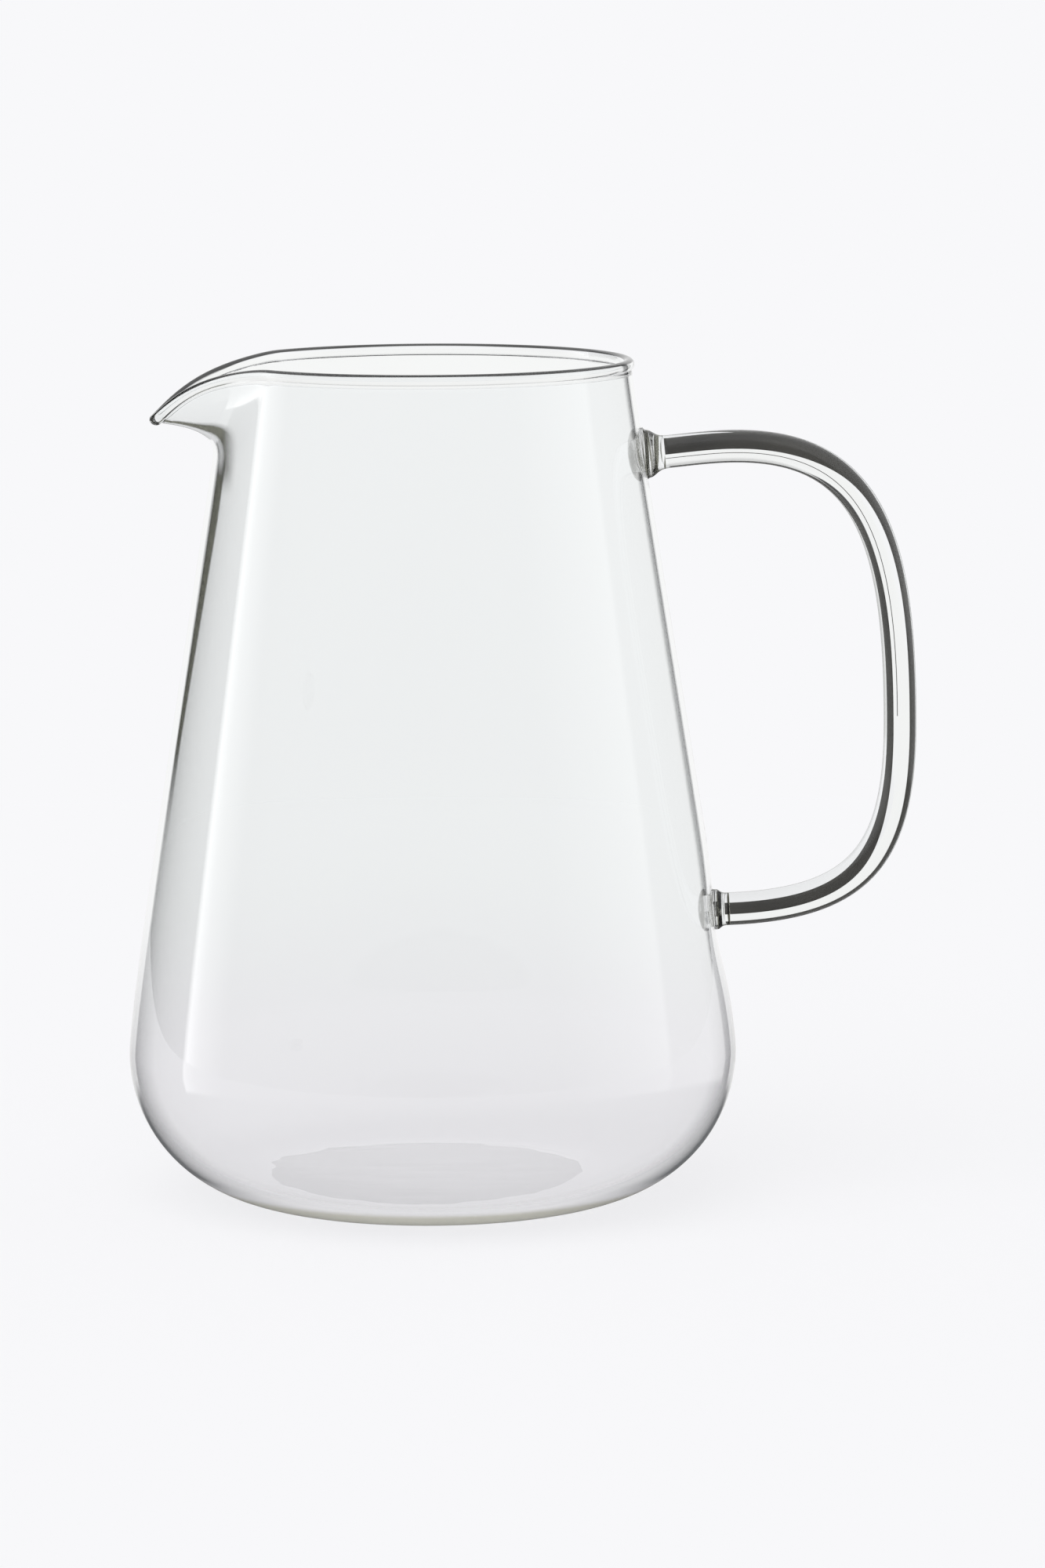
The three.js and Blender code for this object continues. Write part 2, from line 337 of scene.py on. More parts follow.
def rod_line(vessel, handle):
    """The rod's middle line with its radius, from inside the upper wall round to inside the lower one."""
    upper, lower = rod_ends(vessel, handle)
    start = np.array(along_weld(upper, handle.upper_weld))
    end = np.array(along_weld(lower, handle.lower_weld))
    crest = np.array((upper[0] + handle.crest_out, upper[1] + handle.crest_rise))
    grip = np.array((vessel.belly_radius + handle.grip_reach, lower[1] + handle.grip_rise))
    third = (crest[0] - start[0]) / 3
    steps = np.linspace(0, 1, ROD_STEPS)
    rise = bezier(
        start,
        start + (third, third * handle.upper_slope),
        crest - (third, 0),
        crest,
        steps[::RISE_STRIDE],
    )
    upper_bend = bezier(
        crest,
        crest + ((grip[0] - crest[0]) * UPPER_BEND[0], 0),
        grip + (0, (crest[1] - grip[1]) * UPPER_BEND[1]),
        grip,
        steps[1:],
    )
    width = (grip[0] - end[0]) * LOWER_BEND[0]
    lower_bend = bezier(
        grip,
        grip - (0, (grip[1] - end[1]) * LOWER_BEND[1]),
        end + (width, width * handle.lower_slope),
        end,
        steps[1:],
    )
    upper_steps = weld_steps(vessel, handle.upper_button, handle.upper_weld)
    lower_steps = weld_steps(vessel, handle.lower_button, handle.lower_weld)[::-1]
    upper_weld = [along_weld(upper, s) for s in upper_steps]
    lower_weld = [along_weld(lower, s) for s in lower_steps]
    line = np.vstack([upper_weld, rise[1:], upper_bend, lower_bend, lower_weld[1:]])
    radii = np.full(len(line), handle.rod_radius)
    radii[: len(upper_steps)] = weld_radius(
        handle, vessel, handle.upper_flare, handle.upper_button, handle.upper_reach, upper_steps
    )
    radii[-len(lower_steps) :] = weld_radius(
        handle, vessel, handle.lower_flare, handle.lower_button, handle.lower_reach, lower_steps
    )
    return line, radii


def weld_radius(handle, vessel, flare, button, reach, distance):
    """A weld's radius: a button melted through the wall, a neck, and a flange that narrows to the rod."""
    depth = np.clip(-(distance + vessel.wall) / button, 0, BUTTON_FLAT)
    foot = WELD_FOOT * flare * np.exp(-((np.maximum(distance, 0) / WELD_NECK) ** 2))
    fall = np.exp(-(((distance - 2 * WELD_NECK) / reach) ** 2))
    fall[distance < 0] = fall[distance >= 0].max() * WELD_INSIDE
    return (handle.rod_radius + foot + fall * flare) * np.sqrt(1 - depth**2)


# Modelling tools

SEED_SIZE = 0.01
MERGE_WITHIN = 1e-6
SMOOTH_BELOW = math.radians(50)
# How far round the end of the rod a weld reaches, in the rod's radii
WELD_REACH = 3
# How far inside the wall a button's glass begins
BUTTON_MARGIN = 0.00005
# What closes a piece where it was parted: on the faces that look towards +X, and on the others
SEAM, CONTACT = 0, 1
SEATS = {
    "blown_vessel": (CONTACT, CONTACT),
    "bent_rod": (SEAM, SEAM),
    "upper_gather": (SEAM, CONTACT),
    "lower_gather": (SEAM, CONTACT),
}


def select_only(piece):
    """Makes a piece the only one that the next tool works on."""
    bpy.ops.object.select_all(action="DESELECT")
    piece.select_set(True)
    bpy.context.view_layer.objects.active = piece


def set_points(piece, change, *arguments):
    """Lets a shaping function move all points of a piece."""
    points = np.empty(len(piece.data.vertices) * 3)
    piece.data.vertices.foreach_get("co", points)
    points = points.reshape(-1, 3)
    change(*arguments, points)
    piece.data.vertices.foreach_set("co", points.ravel())
    piece.data.update()


def drawn(name, places):
    """Begins a piece as a chain of edges through places, and leaves it in edit mode, all selected."""
    bpy.ops.mesh.primitive_plane_add(size=SEED_SIZE)
    piece = bpy.context.active_object
    piece.name = name
    bpy.ops.object.mode_set(mode="EDIT")
    bpy.ops.mesh.merge(type="CENTER")
    bpy.ops.transform.translate(value=places[0])
    for here, there in zip(places, places[1:]):
        bpy.ops.mesh.extrude_vertices_move(TRANSFORM_OT_translate={"value": there - here})
    bpy.ops.mesh.select_all(action="SELECT")
    return piece


def clean_up():
    """Merges points that coincide, turns all faces outward and leaves edit mode."""
    bpy.ops.mesh.select_all(action="SELECT")
    bpy.ops.mesh.remove_doubles(threshold=MERGE_WITHIN)
    bpy.ops.mesh.normals_make_consistent(inside=False)
    bpy.ops.object.mode_set(mode="OBJECT")


def spun(name, outline):
    """A section spun round the Z axis."""
    piece = drawn(name, [Vector((r, 0.0, z)) for r, z in outline])
    bpy.ops.mesh.spin(steps=ROUND_STEPS, angle=2 * math.pi, center=(0, 0, 0), axis=(0, 0, 1))
    clean_up()
    return piece


def flat_card(name, places):
    """A flat face with its corners at places."""
    piece = drawn(name, places)
    bpy.ops.mesh.edge_face_add()
    bpy.ops.object.mode_set(mode="OBJECT")
    return piece


def swept(name, line, radii):
    """A round rod along a line in the XZ plane, with a radius at each point."""
    bpy.ops.curve.primitive_nurbs_path_add()
    piece = bpy.context.active_object
    piece.name = name
    curve = piece.data
    curve.splines.clear()
    spline = curve.splines.new("POLY")
    spline.points.add(len(line) - 1)
    widest = float(max(radii))
    for point, (x, z), radius in zip(spline.points, line, radii):
        point.co = (x, 0.0, z, 1.0)
        point.radius = float(radius) / widest
    curve.bevel_depth = widest
    curve.bevel_resolution = ROD_ROUND
    curve.use_fill_caps = True
    bpy.ops.object.convert(target="MESH")
    piece = bpy.context.active_object
    bpy.ops.object.mode_set(mode="EDIT")
    clean_up()
    return piece


def mark_bead(piece, vessel):
    """Marks the melted bead of the rim before the spout is pulled, for the line of painted shade along its
    top.
    """
    start = vessel.rim_height - vessel.wall / 2 - vessel.bead_swell
    heights = np.array([v.co.z for v in piece.data.vertices])
    marks = piece.data.attributes.new("bead", "FLOAT", "POINT")
    marks.data.foreach_set("value", (heights > start).astype(np.float32))


def mark_buttons(piece, vessel, handle):
    """Marks the ends of the rod that are melted through the vessel's wall, for their grey and for the bead's
    line of painted shade.
    """
    places = np.array([v.co for v in piece.data.vertices])
    angle = np.arctan2(places[:, 1], places[:, 0])
    inner = outer_radius(vessel, places[:, 2]) - dent(vessel, angle, places[:, 2]) - vessel.wall
    inside = np.hypot(places[:, 0], places[:, 1]) < inner - BUTTON_MARGIN
    beside_welds = np.zeros(len(places), bool)
    for x, z, slope in rod_ends(vessel, handle):
        beside_welds |= np.linalg.norm(places - (x, 0, z), axis=1) < WELD_REACH * handle.rod_radius
    marks = piece.data.attributes.new("button", "FLOAT", "POINT")
    marks.data.foreach_set("value", (inside & beside_welds).astype(np.float32))
    for index in np.flatnonzero(beside_welds):
        piece.data.attributes["bead"].data[index].value = float(inside[index])


def close_seats(piece, seam, contact):
    """Closes each open ring of a piece: a clear seam towards the rod, a grey contact towards the wall."""
    select_only(piece)
    faces = len(piece.data.polygons)
    bpy.ops.object.mode_set(mode="EDIT")
    bpy.ops.mesh.select_all(action="SELECT")
    bpy.ops.mesh.fill_holes(sides=0)
    bpy.ops.mesh.select_all(action="SELECT")
    bpy.ops.mesh.normals_make_consistent(inside=False)
    bpy.ops.object.mode_set(mode="OBJECT")
    bpy.ops.object.material_slot_remove_unused()
    first = len(piece.data.materials)
    piece.data.materials.append(seam)
    piece.data.materials.append(contact)
    outward, inward = SEATS[piece.name]
    for face in piece.data.polygons[faces:]:
        face.material_index = first + (outward if face.normal.x > 0 else inward)
    bpy.ops.object.shade_smooth_by_angle(angle=SMOOTH_BELOW)


# Node tools


def node(tree, kind, place=(0, 0), **values):
    made = tree.nodes.new(kind)
    made.location = place
    for key, value in values.items():
        setattr(made, key, value)
    return made


def fill(tree, sockets, sources):
    """Links each socket to its source, or sets it where the source is a plain value."""
    for socket, source in zip(sockets, sources):
        if isinstance(source, bpy.types.NodeSocket):
            tree.links.new(source, socket)
        else:
            socket.default_value = source


def mixed(tree, place, factor, first, second, blend="MIX"):
    """The second colour where the factor is one, or the first colour blended with it."""
    made = node(tree, "ShaderNodeMix", place, data_type="RGBA", blend_type=blend)
    fill(tree, [made.inputs[index] for index in (0, 6, 7)], (factor, first, second))
    return made.outputs[2]


def worked_out(tree, place, operation, *sources):
    """What one maths node makes of its sources."""
    made = node(tree, "ShaderNodeMath", place, operation=operation)
    fill(tree, made.inputs, sources)
    return made.outputs[0]


def overlap(tree, place, *masks):
    """One where all masks are one."""
    whole = masks[0]
    for mask in masks[1:]:
        whole = worked_out(tree, place, "MULTIPLY", whole, mask)
    return whole


def vector_made(tree, place, operation, *sources):
    """A vector node, filled from its sources."""
    made = node(tree, "ShaderNodeVectorMath", place, operation=operation)
    fill(tree, made.inputs, sources)
    return made.outputs


def rising(tree, place, value, start, end, kind="LINEAR"):
    """Rises from none to one between two values."""
    made = node(tree, "ShaderNodeMapRange", place, interpolation_type=kind)
    made.inputs["From Min"].default_value = start
    made.inputs["From Max"].default_value = end
    tree.links.new(value, made.inputs["Value"])
    return made.outputs[0]


def smooth(tree, place, value, start, end):
    """Rises from none to one between two values, with soft ends."""
    return rising(tree, place, value, start, end, "SMOOTHSTEP")


def ramp(tree, place, value, stops, spread=(0, 1)):
    """A grey that follows stops, whose places are given in the range that the value is spread over."""
    made = node(tree, "ShaderNodeValToRGB", place)
    low, high = spread
    elements = made.color_ramp.elements
    for index, (stop, level) in enumerate(stops):
        position = (stop - low) / (high - low)
        element = elements[index] if index < len(elements) else elements.new(position)
        element.position = position
        element.color = grey(level)
    tree.links.new(value, made.inputs[0])
    return made.outputs[0]


def parts(tree, place, vector):
    """The X, Y and Z of a vector."""
    made = node(tree, "ShaderNodeSeparateXYZ", place)
    tree.links.new(vector, made.inputs[0])
    return made.outputs


def object_place(tree, place):
    return node(tree, "ShaderNodeTexCoord", place).outputs["Object"]


def noise(tree, place, vector, scale):
    made = node(tree, "ShaderNodeTexNoise", place)
    made.inputs["Scale"].default_value = scale
    made.inputs["Detail"].default_value = 2.0
    tree.links.new(vector, made.inputs["Vector"])
    return made.outputs[0]


def facing(tree, place):
    """None where a surface is seen straight on, one where it is seen edge on."""
    made = node(tree, "ShaderNodeLayerWeight", place)
    made.inputs["Blend"].default_value = 0.5
    return made.outputs["Facing"]


def grey(level):
    return (level, level, level, 1)


def toned(tint, level):
    """A tint at a share of its brightness."""
    return (*(part * level for part in tint), 1)


# Glass

GLASS_IOR = 1.5


def glass_material(name, tint):
    """A material of clear glass, with its nodes and its shader."""
    material = bpy.data.materials.new(name)
    material.use_nodes = True
    shader = material.node_tree.nodes["Principled BSDF"]
    shader.inputs["Base Color"].default_value = (*tint, 1)
    shader.inputs["Roughness"].default_value = 0.0
    shader.inputs["IOR"].default_value = GLASS_IOR
    shader.inputs["Transmission Weight"].default_value = 1.0
    return material, material.node_tree, shader


def edge_tone(tree, place, span, clear, dark):
    """A clear colour that turns dark where glass is seen edge on."""
    away = rising(tree, (place[0] + 200, place[1]), facing(tree, place), *span)
    return mixed(tree, (place[0] + 400, place[1]), away, clear, dark)


def direct(tree, place):
    """One where glass is looked at or through, none where it is mirrored."""
    mirrors = node(tree, "ShaderNodeLightPath", place).outputs["Glossy Depth"]
    return worked_out(tree, (place[0] + 200, place[1]), "LESS_THAN", mirrors, 0.5)


# The disc under the base where a contact shadow is painted: how far its edge wanders, where it fades beyond
# the base's radius, how fine its waves and streaks are, how far the streaks are turned, and the painted
# greys
FOOT_WANDER = 0.007
FOOT_FADE = (0.0034, 0.0031)
FOOT_WAVES = 75
FOOT_STREAKS = (40, 260, 0)
FOOT_STREAK_TURN = 0.5
FOOT_SHADOW_GREYS = (grey(0.48), grey(0.72))


def foot_shadow_mask(vessel):
    """A shared group: one on the disc under the base where a contact shadow is painted, with an uneven edge,
    and its streaks.
    """
    tree = bpy.data.node_groups.new("painted foot shadow", "ShaderNodeTree")
    tree.interface.new_socket("Mask", in_out="OUTPUT", socket_type="NodeSocketFloat")
    tree.interface.new_socket("Streaks", in_out="OUTPUT", socket_type="NodeSocketFloat")
    output = node(tree, "NodeGroupOutput", (600, 0))
    place = object_place(tree, (-600, 0))
    shift = (vessel.foot_shift, 0, 0)
    moved = vector_made(tree, (-400, 0), "MULTIPLY_ADD", place, (1, 1, 0), shift)["Vector"]
    out = vector_made(tree, (-200, 0), "LENGTH", moved)["Value"]
    waves = noise(tree, (-200, 200), place, FOOT_WAVES)
    uneven = worked_out(tree, (0, 100), "MULTIPLY_ADD", waves, FOOT_WANDER, out)
    inside = rising(tree, (200, 100), uneven, *(vessel.base_radius + fade for fade in FOOT_FADE))
    height = parts(tree, (0, -200), place)["Z"]
    under = worked_out(tree, (200, -200), "LESS_THAN", height, vessel.base_thickness / 2)
    stretched = node(tree, "ShaderNodeMapping", (0, -400))
    stretched.inputs["Scale"].default_value = FOOT_STREAKS
    stretched.inputs["Rotation"].default_value = (0, 0, FOOT_STREAK_TURN)
    tree.links.new(place, stretched.inputs["Vector"])
    tree.links.new(overlap(tree, (400, 0), inside, under), output.inputs["Mask"])
    tree.links.new(noise(tree, (200, -400), stretched.outputs[0], 1.0), output.inputs["Streaks"])
    return tree


def disc_shadow_tone(tree, vessel):
    """Painted contact shadow: grey on the disc under the base."""
    foot = node(tree, "ShaderNodeGroup", (-900, -600), node_tree=foot_shadow_mask(vessel))
    streaked = mixed(tree, (-700, -700), foot.outputs["Streaks"], *FOOT_SHADOW_GREYS)
    return mixed(tree, (-500, -600), foot.outputs["Mask"], grey(1), streaked)


# The dark line of painted shade along the top of the rim bead: its grey, how far the bead turns away and
# how far up where the line lies, how much wider it is on the lip, and where the lip is, in shares of the
# rim's radius
RIM_LINE = 0.005
RIM_FACING = (0.14, 0.24)
RIM_UPWARD = (0.5, 0.62)
LIP_LINE = 0.35
LIP_PLACE = (-0.9, -1.2)


def rim_line(tree, vessel, axes, first):
    """A dark line of painted shade along the top of the rim bead, where it is seen from the side, and wider
    on the spout.
    """
    normal = parts(tree, (-1300, 250), node(tree, "ShaderNodeNewGeometry", (-1500, 250)).outputs["Normal"])
    lip = smooth(tree, (-1500, 100), axes["X"], *(part * vessel.rim_radius for part in LIP_PLACE))
    leant = worked_out(tree, (-1200, 150), "MULTIPLY_ADD", lip, LIP_LINE, normal["Z"])
    mask = overlap(
        tree,
        (-700, 300),
        node(tree, "ShaderNodeAttribute", (-900, 300), attribute_name="bead").outputs["Fac"],
        smooth(tree, (-1300, 400), facing(tree, (-1500, 400)), *RIM_FACING),
        smooth(tree, (-1000, 150), leant, *RIM_UPWARD),
        first,
    )
    return mixed(tree, (-500, 300), mask, grey(1), grey(RIM_LINE))


# The dark band of painted shade in the throat of the spout: how far the glass turns away in it, how far down
# it fades out, and how far round the spout it goes, in shares of the rim's radius
THROAT_BAND = ((0.53, 0), (0.58, 1), (0.67, 1), (0.72, 0))
THROAT_FADE = 0.007
THROAT_SIDE = (-0.9, -1.0)


def throat_shade(tree, vessel, look, axes, first):
    """A dark band of painted shade just inside the edge of the throat under the spout."""
    spout_start = vessel.rim_height - vessel.spout_depth
    mask = overlap(
        tree,
        (-900, 900),
        ramp(tree, (-1300, 1000), facing(tree, (-1500, 1000)), THROAT_BAND),
        smooth(tree, (-1100, 900), axes["Z"], spout_start - THROAT_FADE, spout_start),
        smooth(tree, (-1100, 800), axes["X"], *(part * vessel.rim_radius for part in THROAT_SIDE)),
        first,
    )
    return mixed(tree, (-700, 900), mask, grey(1), (*look.streak_and_shade_tint, 1))


# The dark band of painted shade down the wall under the spout: how far the glass turns away at its two
# edges, how much further it does so at its lower end, the heights of its ends, how softly its top ends, and
# how far round it goes
BAND_EDGES = ((0.64, 0.665), (0.745, 0.765))
BAND_NARROWING = (0.075, 0.03)
BAND_TOP = 0.147
BAND_LOW = 0.10
BAND_FOOT = 0.072
BAND_FADE = 0.003
BAND_SIDE = (-0.75, -0.85)


def wall_shade(tree, vessel, look, place, axes, first):
    """A dark band of painted shade just inside the edge of the wall under the spout, thinner downwards."""
    away = facing(tree, (-1500, 1400))
    down = rising(tree, (-1500, 1250), axes["Z"], BAND_TOP, BAND_LOW)
    edges = []
    for span, narrowing in zip(BAND_EDGES, BAND_NARROWING):
        moved = worked_out(tree, (-1300, 1300), "MULTIPLY_ADD", down, -narrowing, away)
        edges.append(smooth(tree, (-1100, 1300), moved, *span))
    level = vector_made(tree, (-1500, 1100), "MULTIPLY", place, (1, 1, 0))["Vector"]
    outward = vector_made(tree, (-1300, 1100), "NORMALIZE", level)["Vector"]
    spout_start = vessel.rim_height - vessel.spout_depth
    mask = overlap(
        tree,
        (-700, 1200),
        worked_out(tree, (-900, 1300), "SUBTRACT", *edges),
        smooth(tree, (-900, 1200), parts(tree, (-1100, 1100), outward)["X"], *BAND_SIDE),
        smooth(tree, (-900, 1100), axes["Z"], BAND_FOOT, BAND_LOW),
        smooth(tree, (-900, 1000), axes["Z"], spout_start + BAND_FADE, spout_start - BAND_FADE),
        first,
    )
    return mixed(tree, (-500, 1200), mask, grey(1), (*look.streak_and_shade_tint, 1))


# The dark edge of painted shade round the heel: the heights where it comes in, in base thicknesses, and
# where it goes out, in belly heights, and how far the glass turns away in it
HEEL_IN = (1.5, 2.2)
HEEL_OUT = (0.65, 2.0)
HEEL_FACING = (0.6, 0.86)


def heel_shade(tree, vessel, look, axes, first):
    """A dark edge of painted shade round the heel and the belly."""
    heights = [part * vessel.base_thickness for part in HEEL_IN]
    heights += [part * vessel.belly_height for part in HEEL_OUT]
    band = ramp(tree, (-900, 0), axes["Z"], tuple(zip(heights, (0, 1, 1, 0))))
    edge = edge_tone(tree, (-1300, -100), HEEL_FACING, grey(1), (*look.painted_heel_shade, 1))
    return mixed(tree, (-500, 0), overlap(tree, (-700, 0), band, first), grey(1), edge)


# The tinted edge of the base: the heights where it comes in, in base thicknesses, and how far it turns away
FOOT_IN = (2.3, 1.7)
FOOT_FACING = (0.55, 0.66)


def body_tone(tree, vessel, look, axes, first):
    """The glass looked through: one tint in the wall, one in the belly, and one at the edge of the base."""
    belly = rising(tree, (-1100, -300), axes["Z"], vessel.rim_height / 3, vessel.belly_height)
    wall = mixed(tree, (-900, -300), belly, (*look.body_tint, 1), (*look.low_tint, 1))
    edge = edge_tone(tree, (-1300, -450), FOOT_FACING, wall, (*look.foot_tint, 1))
    low = rising(tree, (-900, -450), axes["Z"], *(part * vessel.base_thickness for part in FOOT_IN))
    return mixed(tree, (-500, -300), overlap(tree, (-700, -450), low, first), wall, edge)


BUTTON_GREY = 0.62


def button_tone(tree):
    """Grey on the ends of the rod that are melted through the wall."""
    button = node(tree, "ShaderNodeAttribute", (-900, 600), attribute_name="button").outputs["Fac"]
    mask = overlap(tree, (-700, 600), button, direct(tree, (-1100, 700)))
    return mixed(tree, (-500, 600), mask, grey(1), grey(BUTTON_GREY))


def vessel_glass(look, vessel):
    """Blown glass: clear, with dark lines and bands of painted shade where its edges are seen first, grey
    where the rod was pressed into it, and a painted contact shadow under the base.
    """
    material, tree, shader = glass_material("blown_glass", look.body_tint)
    place = object_place(tree, (-1900, 0))
    axes = parts(tree, (-1700, 0), place)
    first = node(tree, "ShaderNodeLightPath", (-1700, 300)).outputs["Is Camera Ray"]
    tones = (
        rim_line(tree, vessel, axes, first),
        throat_shade(tree, vessel, look, axes, first),
        wall_shade(tree, vessel, look, place, axes, first),
        heel_shade(tree, vessel, look, axes, first),
        button_tone(tree),
        disc_shadow_tone(tree, vessel),
    )
    tint = body_tone(tree, vessel, look, axes, first)
    for tone in tones:
        tint = mixed(tree, (-250, 0), 1.0, tint, tone, "MULTIPLY")
    tree.links.new(tint, shader.inputs["Base Color"])
    return material


# Where the painted shade along the rod's edges begins and ends, by how far the glass turns away
ROD_FACING = (0.68, 0.85)


def rod_glass(look):
    """Solid glass, with painted shade in a thin dark line along its edges."""
    material, tree, shader = glass_material("drawn_glass", look.body_tint)
    tint = edge_tone(tree, (-700, 0), ROD_FACING, (*look.body_tint, 1), (*look.painted_edge_shade, 1))
    tree.links.new(tint, shader.inputs["Base Color"])
    return material


# The streaks in the welds: how fine and how uneven they are, how much of each wave is dark, and how far
# the glass turns away where its painted shade at the edge is dark all over and where it is clear between
# them
STREAK_SCALE = 143
STREAK_UNEVENNESS = 1.5
STREAK_EDGE = (0.3, 0.4)
WELD_FACING = (0.75, 0.5)


def melted_glass(look):
    """Glass pressed on while soft: dark streaks run round it, and its edges are dark with painted shade."""
    material, tree, shader = glass_material("melted_glass", look.body_tint)
    waves = node(tree, "ShaderNodeTexWave", (-700, -300), wave_type="BANDS", bands_direction="X")
    waves.inputs["Scale"].default_value = STREAK_SCALE
    waves.inputs["Distortion"].default_value = STREAK_UNEVENNESS
    waves.inputs["Detail"].default_value = 1.0
    tree.links.new(object_place(tree, (-900, -300)), waves.inputs["Vector"])
    clear = overlap(
        tree,
        (-300, 0),
        rising(tree, (-500, 100), facing(tree, (-700, 100)), *WELD_FACING),
        rising(tree, (-500, -300), waves.outputs[0], *STREAK_EDGE),
    )
    tint = mixed(tree, (-200, 200), clear, (*look.streak_and_shade_tint, 1), (*look.body_tint, 1))
    tree.links.new(tint, shader.inputs["Base Color"])
    return material


def fused_joint(name, tint):
    """Faces where two pieces are one glass: light passes them straight."""
    material, tree, shader = glass_material(name, tint)
    shader.inputs["IOR"].default_value = 1.0
    seen = mixed(tree, (-200, 0), direct(tree, (-600, 0)), grey(1), (*tint, 1))
    tree.links.new(seen, shader.inputs["Base Color"])
    return material


# Studio

# Glass with several walls turns black at its heel where light may cross only a few surfaces
LIGHT_BOUNCES = 128
CAMERA_PLACE = (0.019548, -1.45, 0.293085)
CAMERA_PITCH = math.radians(8.039)
CAMERA_ROLL = math.radians(-0.3)
CAMERA_LENS = 157.54


def make_camera(scene):
    """The camera of the photograph."""
    data = bpy.data.cameras.new("camera")
    camera = bpy.data.objects.new("camera", data)
    scene.collection.objects.link(camera)
    data.lens = CAMERA_LENS
    level = Matrix.Rotation(math.pi / 2 - CAMERA_PITCH, 4, "X")
    camera.matrix_world = Matrix.Translation(CAMERA_PLACE) @ level @ Matrix.Rotation(CAMERA_ROLL, 4, "Z")
    scene.camera = camera


def bare_material(name):
    """A material with nothing in it but its output."""
    material = bpy.data.materials.new(name)
    material.use_nodes = True
    tree = material.node_tree
    tree.nodes.clear()
    return material, tree, node(tree, "ShaderNodeOutputMaterial", (600, 0))


FLOOR_RADIUS = 0.6
FLOOR_STEPS = 96
FLOOR_DROP = 0.0001
# Share of the floor's brightness left where it is seen through glass, far off and near the carafe: painted
# shade that darkens the floor towards the carafe
FAR_TONE = 0.96
NEAR_TONE = 0.90
NEAR_RADIUS = 0.05


def make_floor(stage):
    """A pale disc that glows by itself, except for the share that a shadow takes, with painted shade towards
    the carafe where it is seen through glass.
    """
    bpy.ops.mesh.primitive_circle_add(vertices=FLOOR_STEPS, radius=FLOOR_RADIUS, fill_type="NGON")
    floor = bpy.context.active_object
    floor.name = "floor"
    floor.location.z = -FLOOR_DROP
    floor.visible_glossy = False
    material, tree, output = bare_material("floor")
    out = vector_made(tree, (-800, 0), "LENGTH", object_place(tree, (-1000, 0)))["Value"]
    near = smooth(tree, (-600, 0), out, FLOOR_RADIUS, NEAR_RADIUS)
    tones = toned(stage.backdrop, FAR_TONE), toned(stage.backdrop, NEAR_TONE)
    through = node(tree, "ShaderNodeLightPath", (-400, 300)).outputs["Is Transmission Ray"]
    seen = mixed(tree, (0, 200), through, toned(stage.backdrop, 1), mixed(tree, (-400, 0), near, *tones))
    glow = node(tree, "ShaderNodeEmission", (200, 100))
    glow.inputs["Strength"].default_value = 1 - stage.shade
    tree.links.new(seen, glow.inputs["Color"])
    matt = node(tree, "ShaderNodeBsdfDiffuse", (200, -100))
    matt.inputs["Color"].default_value = toned(stage.backdrop, stage.shade)
    add = node(tree, "ShaderNodeAddShader", (400, 0))
    fill(tree, add.inputs, (glow.outputs[0], matt.outputs[0]))
    tree.links.new(add.outputs[0], output.inputs["Surface"])
    floor.data.materials.append(material)


# Light that the glass sees round about, by the angle from straight behind, positive towards the handle
ROUND = (-180, 180)
ROUND_LIGHT = (
    (-180, 0.45),
    (-95, 0.45),
    (-80, 1.2),
    (-73, 2.1),
    (-72, 0.04),
    (-27, 0.03),
    (-26, 0.94),
    (23, 0.94),
    (24, 0.03),
    (32, 0.03),
    (34, 0.8),
    (77, 0.72),
    (78, 1.15),
    (130, 0.5),
    (180, 0.45),
)
# The floor beyond the disc, as the glass mirrors it
MIRROR_FLOOR = (
    (-180, 0.35),
    (-95, 0.2),
    (-75, 0.06),
    (-30, 0.06),
    (-25, 0.15),
    (25, 0.15),
    (95, 0.3),
    (180, 0.35),
)
# By the angle above the horizon: where the floor ends to a look through the glass and in a mirror, where the
# ceiling begins, and how the backdrop pales behind several walls of glass
UPRIGHT = (-90, 90)
LOW_EDGE = ((-9.5, 0), (-8, 1))
MIRROR_EDGE = ((-15, 0), (-13, 1))
CEILING_EDGE = ((26, 0), (36, 1))
BEHIND_FADE = ((-9, FAR_TONE), (-3, 1))
CEILING_LIGHT = 0.7
FILL_LIGHT = 0.6
# Past so many surfaces of glass only the backdrop is seen, and a mirror counts as more than one
STUDIO_DEPTH = 2.5
STUDIO_MIRROR = 1.5


